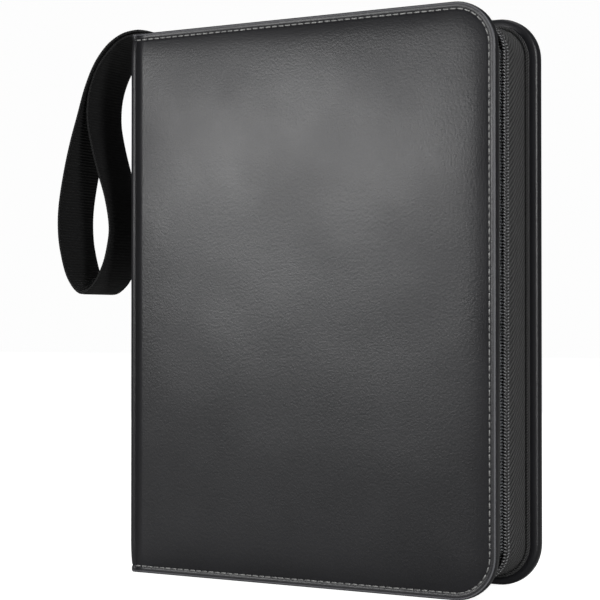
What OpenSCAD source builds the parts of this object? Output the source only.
// A zip-up ring binder for trading cards: two padded covers hinged on a spine,
// a three-ring mechanism, nine-pocket leaves and a webbing carrying strap.
// Origin: middle of the spine's outer face, at its foot. +X runs from the spine to
// the fore-edge, the front cover faces -Y and +Z is up.

/* [Case] */
// Height of the closed case
case_h = 340; // [325:1:420]
// Width of the closed case, from the spine's outer face to the fore-edge
case_w = 250; // [246:1:310]
// Thickness of the closed case
case_t = 72; // [68:1:90]
// Radius of the covers' corners at the fore-edge
corner_r = 26; // [18:0.1:40]

/* [Covers] */
// Thickness of one padded cover
cover_t = 11; // [10.5:0.1:13.5]
// Thickness of the covers' stitched rim
rim_t = 7.2; // [6:0.1:8]
// Thickness of the covering leather
leather_t = 1.2; // [0.8:0.1:1.6]
// Thickness of the stiff boards
board_t = 2.5; // [1.8:0.1:3]
// Thickness of the lining
lining_t = 0.8; // [0.5:0.1:1.2]
// Thickness of the spine panel
spine_t = 5; // [4.2:0.1:6]

/* [Zip] */
// How far the zip's tape stands in from the covers' edges
wall_recess = 7; // [6:0.1:9]
// Thickness of the zip's tape
tape_t = 1.2; // [0.8:0.1:1.6]
// Width of the closed chain of teeth
chain_w = 9; // [8:0.1:11]
// Thickness of the chain of teeth
chain_t = 3.6; // [3:0.2:4]
// Length of the slider
slider_l = 12; // [10:1:16]
// Length of the pull tab from its pin
pull_l = 30; // [20:1:36]
// Width of the pull tab
pull_w = 9; // [7:1:12]

/* [Rings] */
// Radius of a ring, to the middle of its wire
ring_r = 14.5; // [13:0.1:17.5]
// Radius of the ring wire
wire_r = 1.6; // [1.3:0.1:1.7]
// Distance from one ring to the next
ring_pitch = 108; // [100:1:108]

/* [Leaves] */
// Thickness of a leaf
leaf_t = 1.5; // [1.4:0.1:1.6]
// Distance from one leaf to the next in the closed case
leaf_pitch = 2.2; // [2.1:0.05:2.25]
// Width of the punched strip
strip_w = 16; // [15.5:0.5:17]

/* [Strap] */
// Width of the webbing
strap_w = 38; // [25:1:44]
// Thickness of the webbing
strap_t = 1.8; // [1.4:0.1:2.2]
// How far the loop hangs below its root
strap_drop = 168; // [120:1:200]
// How far the loop stands out from the spine
strap_reach = 70; // [50:1:90]

/* [Hidden] */
$fn = 96;
sides = ["front", "back"];
leaves_each_side = 5;
ring_places = ["top", "middle", "bottom"];

// clearances
body_gap = 0.3;
pin_gap = 0.06;
tiny = 0.01;

// planes of the closed case
spine_x = 0;
fore_x = case_w;
front_y = -case_t / 2;
inner_y = front_y + cover_t;
rim_y = front_y + rim_t;
core_inset = wall_recess + tape_t;
mid_z = case_h / 2;
spine_half = -inner_y - body_gap;

// zip: places measured from the spine's outer face, and levels in the top wall
tape_start = spine_x + 7;
stop_l = 2;
slider_start = tape_start + stop_l + body_gap;
top_chain_start = slider_start + slider_l + body_gap;
low_chain_start = tape_start + stop_l;
tape_z = case_h - wall_recess - tape_t / 2;
tape_edge = chain_w / 2;
mesh_half = 0.9;
binding_w = 2;
binding_h = 4;
slider_gap = 0.3;
slider_wall = 1.2;
slider_half = tape_edge + slider_gap + slider_wall;
throat_half = chain_t / 2 + slider_gap;
post_half = mesh_half - 0.3;
slider_top = tape_z + throat_half + slider_wall;
pin_r = 0.9;
pull_t = 2;
eye_half = 1.6;
eye_r = 1.7;
pull_pin_z = slider_top + eye_r + body_gap;
pull_pin_x = slider_start + slider_l / 2;
lug_t = 1.2;

// ring mechanism: heights are distances from the spine's outer face
base_floor = spine_x + spine_t;
stack_half = leaves_each_side * leaf_pitch;
ring_x = max(spine_x + cover_t + stack_half + 0.5, base_floor + 3 + ring_r);
plate_t = 1;
slot_relief = plate_t / 2;
base_top = base_floor + 6.2;
blade_low = base_floor + 1.6;
blade_t = 1;
foot_y = ring_r - 7.1;
base_w = 2 * (foot_y + 5.6);
base_l = 2 * ring_pitch + 44;
blade_pivot = base_w / 2 - 1.5;
foot_angle = asin(foot_y / ring_r);
foot_x = ring_x - sqrt(pow(ring_r, 2) - pow(foot_y, 2));
apex_gap = 0.6;
rivet_r = 1.5;
rivet_head_r = 2.2;
rivet_dz = 80;
lever_r = 2.2;
lever_pin_r = 1.2;
lever_x = base_floor + 3.4;
lever_dz = base_l / 2 + 3;
lever_l = 15;
lever_tilt = 25;

// leaves
hole_in = 8;
hole_r = 3.6;
hole_slide = 3.4;
strip_h = base_l + 2;
edge_room = 3.8;
end_room = 15.3;
leaf_w = fore_x - wall_recess - tape_t - edge_room - (ring_x + ring_r - hole_in);
leaf_h = case_h - 2 * (wall_recess + tape_t + end_room);
film_t = 0.35;
pocket_cols = 3;
pocket_rows = 3;
weld = 0.35;
pocket_w = (leaf_w - strip_w) / pocket_cols;
pocket_pitch = leaf_h / pocket_rows;
pocket_h = pocket_pitch - 3;
mouth_w = 2;
card_t = 0.4;
card_r = 3;
card_room = 0.3;
card_w = pocket_w - 2 * weld - 2 * card_room;
card_h = pocket_h - 6.6;

// strap: its root turns about a line just above the anchor on the spine's top edge
anchor_t = 1.2;
anchor_h = 16;
strap_root_x = spine_x + 1;
strap_root_z = case_h + anchor_t + body_gap + strap_t;

// ---------------------------------------------------------------- helpers

// extrudes an outline in X and Z from y0 to y1
module slab(y0, y1) {
    translate([0, y1, 0])
        rotate([90, 0, 0])
            linear_extrude(y1 - y0)
                children();
}

// a panel that is square at the spine and round at the fore-edge
module panel(inset, left) {
    r = corner_r - inset;
    right = fore_x - inset;
    low = inset;
    high = case_h - inset;
    translate([left, low])
        square([right - r - left, high - low]);
    translate([left, low + r])
        square([right - left, high - low - 2 * r]);
    for (z = [low + r, high - r])
        translate([right - r, z])
            circle(r);
}

// the strip between two insets, round the top, fore-edge and bottom
module rim(outer, inner, left) {
    difference() {
        panel(outer, left);
        panel(inner, left - 5);
    }
}

module on_side(side) {
    if (side == "front")
        children();
    else
        mirror([0, 1, 0])
            children();
}

// -------------------------------------------------------- covers and zip

// a tray of leather as deep as the rim, and higher at the spine only
module cover(side) {
    color("#2b2b2f")
        on_side(side) {
            difference() {
                slab(front_y, rim_y)
                    panel(0, spine_x);
                slab(front_y + leather_t, rim_y + 1)
                    panel(leather_t, spine_x + leather_t);
            }
            translate([spine_x, rim_y - tiny, core_inset])
                cube([leather_t, inner_y - rim_y + tiny, case_h - 2 * core_inset]);
        }
}

// foam: thin under the rim, thicker between the zip's walls
module padding(side) {
    color("#55555a")
        on_side(side)
            union() {
                slab(front_y + leather_t, rim_y - lining_t)
                    panel(leather_t, spine_x + leather_t);
                slab(rim_y - lining_t - tiny, inner_y - lining_t - board_t)
                    panel(core_inset, spine_x + leather_t);
            }
}

module board(side) {
    color("#8a6f4d")
        on_side(side)
            slab(inner_y - lining_t - board_t, inner_y - lining_t)
                panel(core_inset, spine_x + leather_t);
}

module lining(side) {
    color("#1c1c1e")
        on_side(side)
            slab(inner_y - lining_t, inner_y)
                panel(core_inset, spine_x + leather_t);
}

// the leather turned in round the rim, up to the raised middle
module edge_band(side) {
    color("#232326")
        on_side(side)
            slab(rim_y - lining_t, rim_y)
                rim(leather_t, core_inset, spine_x + leather_t);
}

module tape_binding(side) {
    color("#3a3a3d")
        on_side(side)
            slab(rim_y, rim_y + binding_h)
                rim(wall_recess - binding_w, wall_recess, tape_start);
}

module zip_tape(side) {
    color("#303032")
        on_side(side)
            slab(rim_y, -tape_edge)
                rim(wall_recess, core_inset, tape_start);
}

// half of the chain, without the stretch at the top where the slider parks
module zip_teeth(side) {
    over = (chain_t - tape_t) / 2;
    color("#17171a")
        on_side(side)
            difference() {
                slab(-tape_edge, -mesh_half)
                    rim(wall_recess - over, wall_recess + tape_t + over, low_chain_start);
                translate([spine_x, -case_t, mid_z])
                    cube([top_chain_start - spine_x, 2 * case_t, case_h]);
            }
}

// a metal stop at each end of one tape
module zip_stops(side) {
    color("#4a4a4e")
        on_side(side)
            for (z = [tape_z, case_h - tape_z])
                translate([tape_start, -tape_edge, z - chain_t / 2])
                    cube([stop_l, tape_edge - mesh_half, chain_t]);
}

module zip_slider() {
    low = tape_z - throat_half - slider_wall;
    lug_y = eye_half + 0.2;
    color("#1a1a1d") {
        // two plates, joined by the post that parts the teeth
        for (z = [low, slider_top - slider_wall])
            translate([slider_start, -slider_half, z])
                cube([slider_l, 2 * slider_half, slider_wall]);
        translate([slider_start, -post_half, low])
            cube([slider_l / 3, 2 * post_half, slider_top - low]);
        // lips that leave a slot for the back tape; the front half can swing out sideways
        for (z = [low, tape_z + tape_t / 2 + slider_gap])
            translate([slider_start, slider_half - slider_wall, z])
                cube([slider_l, slider_wall, slider_top - tape_z - tape_t / 2 - slider_gap]);
        // lugs and pin for the pull
        for (y = [-lug_y - lug_t, lug_y])
            translate([pull_pin_x - pin_r - 0.6, y, slider_top - tiny])
                cube([2 * pin_r + 1.2, lug_t, pull_pin_z - slider_top + pin_r + 0.5]);
        translate([pull_pin_x, lug_y + lug_t, pull_pin_z])
            rotate([90, 0, 0])
                cylinder(r = pin_r, h = 2 * (lug_y + lug_t));
    }
}

// a tab that narrows to an eye between the slider's lugs
module zip_pull() {
    neck_l = 6;
    color("#141416")
        difference() {
            union() {
                translate([pull_pin_x, eye_half, pull_pin_z])
                    rotate([90, 0, 0])
                        cylinder(r = eye_r, h = 2 * eye_half);
                translate([pull_pin_x, -eye_half, pull_pin_z - pull_t / 2])
                    cube([neck_l, 2 * eye_half, pull_t]);
                translate([pull_pin_x + neck_l - tiny, -pull_w / 2, pull_pin_z - pull_t / 2])
                    cube([pull_l - neck_l - pull_w / 2, pull_w, pull_t]);
                translate([pull_pin_x + pull_l - pull_w / 2, 0, pull_pin_z - pull_t / 2])
                    cylinder(r = pull_w / 2, h = pull_t);
            }
            translate([pull_pin_x, eye_half + 1, pull_pin_z])
                rotate([90, 0, 0])
                    cylinder(r = pin_r + pin_gap, h = 2 * eye_half + 2);
        }
}

// ------------------------------------------------------------------ spine

// bores for the rivets that hold the ring mechanism
module rivet_bores(r) {
    for (z = [mid_z - rivet_dz, mid_z + rivet_dz])
        translate([spine_x + leather_t, 0, z])
            rotate([0, 90, 0])
                cylinder(r = r, h = 20);
}

module spine_layer(x0, x1, inset) {
    translate([x0, -spine_half + inset, inset])
        cube([x1 - x0, 2 * (spine_half - inset), case_h - 2 * inset]);
}

module spine_cover() {
    color("#2b2b2f")
        difference() {
            spine_layer(spine_x, base_floor, 0);
            spine_layer(spine_x + leather_t, base_floor + 1, leather_t);
        }
}

module spine_board() {
    color("#8a6f4d")
        difference() {
            spine_layer(spine_x + leather_t, base_floor - lining_t, leather_t);
            rivet_bores(rivet_r + pin_gap);
        }
}

module spine_lining() {
    color("#1c1c1e")
        difference() {
            spine_layer(base_floor - lining_t, base_floor, leather_t);
            rivet_bores(rivet_r + pin_gap);
        }
}

// channel over the blades, slotted for the rings, with ears for the levers
module ring_base() {
    ear_l = 5.5;
    color("#2e2e31")
        difference() {
            translate([base_floor, -base_w / 2, mid_z - base_l / 2 - ear_l])
                cube([base_top - base_floor, base_w, base_l + 2 * ear_l]);
            translate([base_floor - 1, -base_w / 2 + plate_t, mid_z - case_h])
                cube([base_top - base_floor + 1 - plate_t, base_w - 2 * plate_t, 2 * case_h]);
            for (z = [mid_z - base_l / 2 - ear_l - 1, mid_z + base_l / 2])
                translate([base_floor, -base_w / 2 + plate_t, z])
                    cube([base_top, base_w - 2 * plate_t, ear_l + 1]);
            // slots for the rings, let into the side walls so that the open rings clear them
            for (i = [-1:1], y = [foot_y - 2.4, -base_w / 2 + plate_t - slot_relief])
                translate([base_floor, y, mid_z + i * ring_pitch - wire_r - 1])
                    cube([20, base_w / 2 - plate_t + slot_relief - foot_y + 2.4, 2 * wire_r + 2]);
            rivet_bores(rivet_r + pin_gap);
            for (z = [mid_z - lever_dz, mid_z + lever_dz])
                translate([lever_x, base_w / 2 + 1, z])
                    rotate([90, 0, 0])
                        cylinder(r = lever_pin_r, h = base_w + 2);
        }
}

module base_rivets() {
    color("#b9bcc0")
        for (z = [mid_z - rivet_dz, mid_z + rivet_dz]) {
            translate([spine_x + leather_t, 0, z])
                rotate([0, 90, 0])
                    cylinder(r = rivet_r, h = base_top - spine_x - leather_t + tiny);
            translate([base_top, 0, z])
                rotate([0, 90, 0])
                    cylinder(r = rivet_head_r, h = 1.2);
        }
}

module lever_pins() {
    color("#b9bcc0")
        for (z = [mid_z - lever_dz, mid_z + lever_dz])
            translate([lever_x, base_w / 2, z])
                rotate([90, 0, 0])
                    cylinder(r = lever_pin_r, h = base_w);
}

// a thumb lever at one end of the mechanism, up when the rings are shut
module lever(end) {
    half = base_w / 2 - plate_t - body_gap;
    tab_half = half - 2;
    color("#1b1b1d")
        translate([lever_x, 0, mid_z + end * lever_dz])
            mirror([0, 0, end < 0 ? 1 : 0])
                rotate([0, lever_tilt, 0])
                    difference() {
                        union() {
                            translate([0, half, 0])
                                rotate([90, 0, 0])
                                    cylinder(r = lever_r, h = 2 * half);
                            translate([-0.9, -tab_half, 0])
                                cube([1.8, 2 * tab_half, lever_l]);
                            translate([-0.9, -tab_half, lever_l - 2])
                                cube([4.5, 2 * tab_half, 2]);
                        }
                        translate([0, half + 1, 0])
                            rotate([90, 0, 0])
                                cylinder(r = lever_pin_r + pin_gap, h = 2 * half + 2);
                    }
}

// ------------------------------------------------------------------ rings

// the hinged strip under the cover plate that carries one side's ring halves
module blade(side) {
    color("#a5a8ad")
        on_side(side)
            difference() {
                translate([blade_low, -blade_pivot - 0.3, mid_z - base_l / 2 + 4])
                    cube([blade_t, blade_pivot + 0.1, base_l - 8]);
                rivet_bores(rivet_r + 1.2);
            }
}

// half a ring: a bent wire from its tip at the fore side to a foot on the blade
module ring_half(side, place) {
    z = mid_z + (place == "top" ? 1 : place == "middle" ? 0 : -1) * ring_pitch;
    color("#c9ccd1")
        on_side(side) {
            translate([ring_x, 0, z])
                rotate([0, 0, -180 + foot_angle])
                    rotate_extrude(angle = 180 - foot_angle - apex_gap)
                        translate([ring_r, 0])
                            circle(wire_r);
            translate([blade_low + blade_t, -foot_y, z])
                rotate([0, 90, 0])
                    cylinder(r = wire_r, h = foot_x - blade_low - blade_t);
        }
}

// ----------------------------------------------------------------- leaves

function leaf_y(i) = -(i - 0.5) * leaf_pitch;
function leaf_x(i) = ring_x + sqrt(pow(ring_r, 2) - pow(leaf_y(i), 2)) - hole_in;
function pocket_x(i, col) = leaf_x(i) + strip_w + col * pocket_w + weld;
function pocket_z(row) = mid_z - leaf_h / 2 + row * pocket_pitch + 1.5;

// an oval hole, long enough for the ring to shift in it as the rings open
module punched_hole(x, z) {
    for (dx = [0, hole_slide])
        translate([x + dx, z])
            circle(hole_r);
    translate([x, z - hole_r])
        square([hole_slide, 2 * hole_r]);
}

// a nine-pocket leaf: leaf 1 is at the middle of the case
module leaf(side, i) {
    y0 = leaf_y(i) - leaf_t / 2;
    y1 = leaf_y(i) + leaf_t / 2;
    color("#dfe6ee", 0.5)
        on_side(side)
            difference() {
                slab(y0, y1)
                    difference() {
                        union() {
                            translate([leaf_x(i), mid_z - strip_h / 2])
                                square([strip_w + 1, strip_h]);
                            translate([leaf_x(i) + strip_w, mid_z - leaf_h / 2])
                                square([leaf_w - strip_w, leaf_h]);
                        }
                        for (k = [-1:1])
                            punched_hole(leaf_x(i) + hole_in, mid_z + k * ring_pitch);
                    }
                for (col = [0:pocket_cols - 1], row = [0:pocket_rows - 1]) {
                    translate([pocket_x(i, col), y0 + film_t, pocket_z(row)])
                        cube([pocket_w - 2 * weld, leaf_t - 2 * film_t, pocket_h]);
                    // the mouth is a slit in the face that looks to the middle
                    translate([pocket_x(i, col), y0 + film_t, pocket_z(row) + 1])
                        cube([mouth_w, leaf_t, pocket_h - 2]);
                }
            }
}

module card_outline() {
    translate([card_r, 0])
        square([card_w - 2 * card_r, card_h]);
    translate([0, card_r])
        square([card_w, card_h - 2 * card_r]);
    for (x = [card_r, card_w - card_r], z = [card_r, card_h - card_r])
        translate([x, z])
            circle(card_r);
}

// one row of cards in the pockets of the leaf nearest the middle
module cards(side, place) {
    row = place == "top" ? 2 : place == "middle" ? 1 : 0;
    color("#3f7f5a")
        on_side(side)
            for (col = [0:pocket_cols - 1])
                slab(leaf_y(1) - card_t / 2, leaf_y(1) + card_t / 2)
                    translate([pocket_x(1, col) + card_room, pocket_z(row) + 1])
                        card_outline();
}

// ------------------------------------------------------------------ strap

// a folded tab over the spine's top edge that the strap is sewn to
module strap_anchor() {
    color("#202023")
        difference() {
            translate([spine_x - anchor_t, -strap_w / 2 - 1, case_h - anchor_h])
                cube([spine_t + 2 * anchor_t, strap_w + 2, anchor_h + anchor_t]);
            translate([spine_x, -strap_w, case_h - anchor_h - 1])
                cube([spine_t, 2 * strap_w, anchor_h + 1]);
        }
}

// a smooth curve through hand-placed points, with a few steps between each pair
function between(a, b, c, d, t) =
    0.5 * (2 * b + (c - a) * t + (2 * a - 5 * b + 4 * c - d) * t * t
    + (3 * b - a - 3 * c + d) * t * t * t);
function smooth(p, steps) = concat(
    [for (i = [1:len(p) - 3], k = [0:steps - 1])
        between(p[i - 1], p[i], p[i + 1], p[i + 2], k / steps)],
    [p[len(p) - 2]]
);
function along(p, i) =
    let (d = p[min(i + 1, len(p) - 1)] - p[max(i - 1, 0)]) d / norm(d);
function beside(p, i, far) = p[i] + far * [-along(p, i)[1], along(p, i)[0]];

// a strip of webbing that follows a centre line
module band(p, half) {
    n = len(p) - 1;
    polygon(concat(
        [for (i = [0:n]) beside(p, i, half)],
        [for (i = [n:-1:0]) beside(p, i, -half)]
    ));
}

// the loop's centre line: [share of the reach, share of the drop] from the root
outer_strand = [
    [-0.05, -0.003], [0, -0.005], [0.12, -0.012], [0.28, -0.002], [0.44, 0.035], [0.58, 0.1],
    [0.69, 0.19], [0.78, 0.3], [0.86, 0.4], [0.93, 0.51], [0.99, 0.64], [1, 0.74],
    [0.97, 0.83], [0.89, 0.93], [0.75, 0.99], [0.6, 0.96]
];
inner_strand = [
    [0.97, 0.83], [0.89, 0.93], [0.75, 0.99], [0.6, 0.96], [0.49, 0.89], [0.43, 0.81],
    [0.41, 0.73], [0.46, 0.62], [0.55, 0.51], [0.62, 0.41], [0.665, 0.31], [0.645, 0.21],
    [0.555, 0.12], [0.42, 0.055], [0.27, 0.0135], [0.12, 0.002], [0, 0.005], [-0.05, 0.005]
];
function strap_points(share) =
    [for (s = share) [strap_root_x - s[0] * strap_reach, strap_root_z - s[1] * strap_drop]];

module carry_strap() {
    steps = 4;
    color("#18181a")
        union() {
            for (strand = [outer_strand, inner_strand])
                slab(-strap_w / 2, strap_w / 2)
                    band(smooth(strap_points(strand), steps), strap_t / 2);
            slab(-strap_w / 2, strap_w / 2)
                translate([strap_root_x, strap_root_z])
                    circle(strap_t);
        }
}

// ------------------------------------------------------------- every node

spine_cover();
spine_board();
spine_lining();
ring_base();
base_rivets();
lever_pins();
strap_anchor();
carry_strap();
zip_slider();
zip_pull();
lever(1);  // top_lever
lever(-1);  // bottom_lever
for (s = sides) {
    cover(s);
    padding(s);
    board(s);
    lining(s);
    edge_band(s);
    tape_binding(s);
    zip_tape(s);
    zip_teeth(s);
    zip_stops(s);
    blade(s);
    for (p = ring_places) {
        ring_half(s, p);
        cards(s, p);
    }
    for (i = [1:leaves_each_side])
        leaf(s, i);
}
